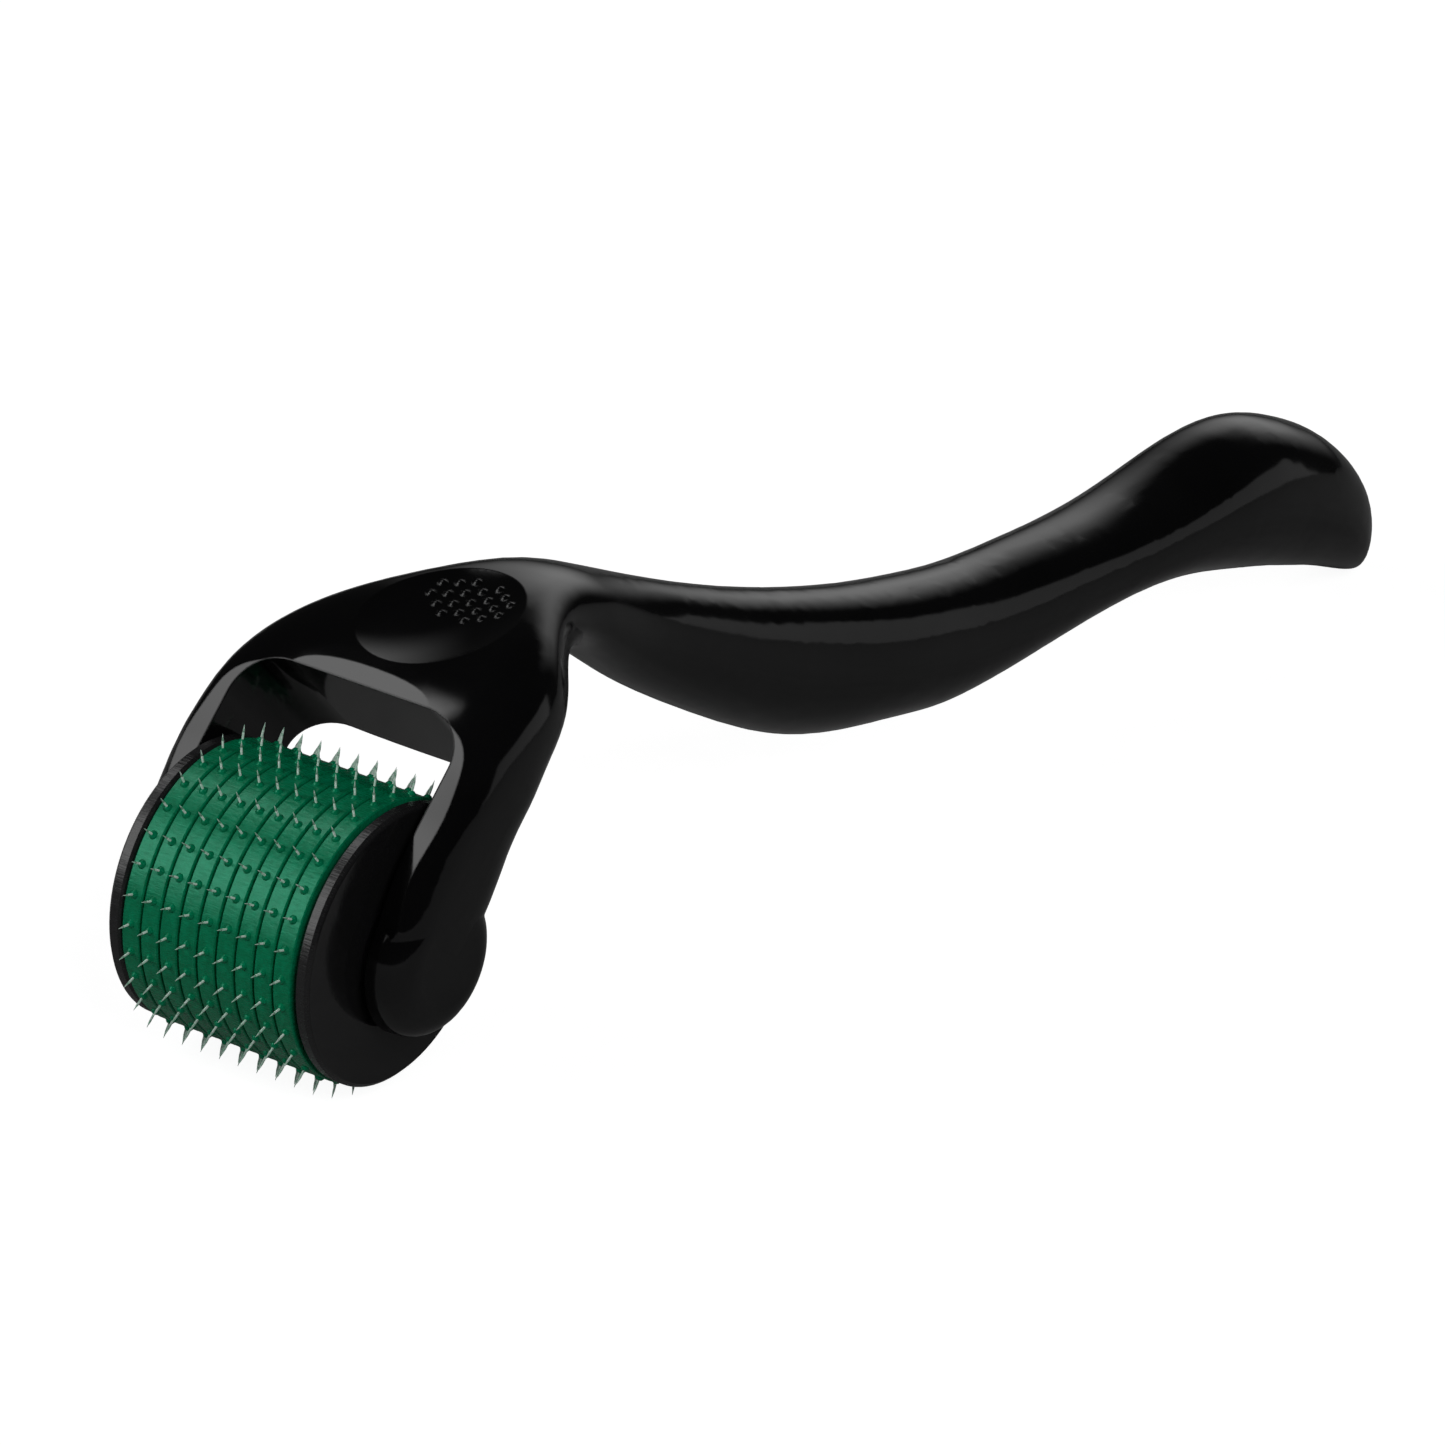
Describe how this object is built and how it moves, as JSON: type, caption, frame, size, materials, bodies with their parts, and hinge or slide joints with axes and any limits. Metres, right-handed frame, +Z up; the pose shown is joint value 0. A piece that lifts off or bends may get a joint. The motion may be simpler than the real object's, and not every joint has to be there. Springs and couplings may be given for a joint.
{
  "type": "derma roller",
  "caption": "Hand-held derma roller: curved glossy black handle whose fork carries a free-spinning green drum set with fine needles",
  "frame": {"origin": "middle of the bounding box, on the surface it rests on", "axes": "+X runs from the drum to the handle end and is the longest extent, Y is the axle's direction and the shortest extent, +Z is up with the roller lying on its needle tips and the handle end"},
  "size_m": [0.146, 0.0246, 0.03],
  "materials": {
    "black_gloss": "injection-moulded ABS polished to a deep gloss",
    "green_plastic": "moulded plastic, satin gloss with fine moulding lines",
    "needle_steel": "stamped and etched stainless steel",
    "pin_steel": "drawn stainless steel pin",
    "washer_nylon": "black nylon",
    "core_plastic": "black acetal"
  },
  "bodies": {
    "handle": {"handle_body": "black_gloss", "axle_pin": "pin_steel", "left_washer": "washer_nylon", "right_washer": "washer_nylon"},
    "roller": {"roller_core": "core_plastic", "left_flange": "black_gloss", "right_flange": "black_gloss", "needle_disc_1": "green_plastic", "needle_disc_2": "green_plastic", "needle_disc_3": "green_plastic", "needle_disc_4": "green_plastic", "needle_disc_5": "green_plastic", "needle_disc_6": "green_plastic", "needle_disc_7": "green_plastic", "needle_disc_8": "green_plastic", "needle_disc_9": "green_plastic", "needle_ring_1": "needle_steel", "needle_ring_2": "needle_steel", "needle_ring_3": "needle_steel", "needle_ring_4": "needle_steel", "needle_ring_5": "needle_steel", "needle_ring_6": "needle_steel", "needle_ring_7": "needle_steel", "needle_ring_8": "needle_steel", "needle_ring_9": "needle_steel"}
  },
  "joints": [
    {"name": "drum_spin", "type": "hinge", "parent": "handle", "child": "roller", "pos_m": [-0.06173, 0, 0.01119], "axis": [0, 1, 0], "continuous": true}
  ]
}
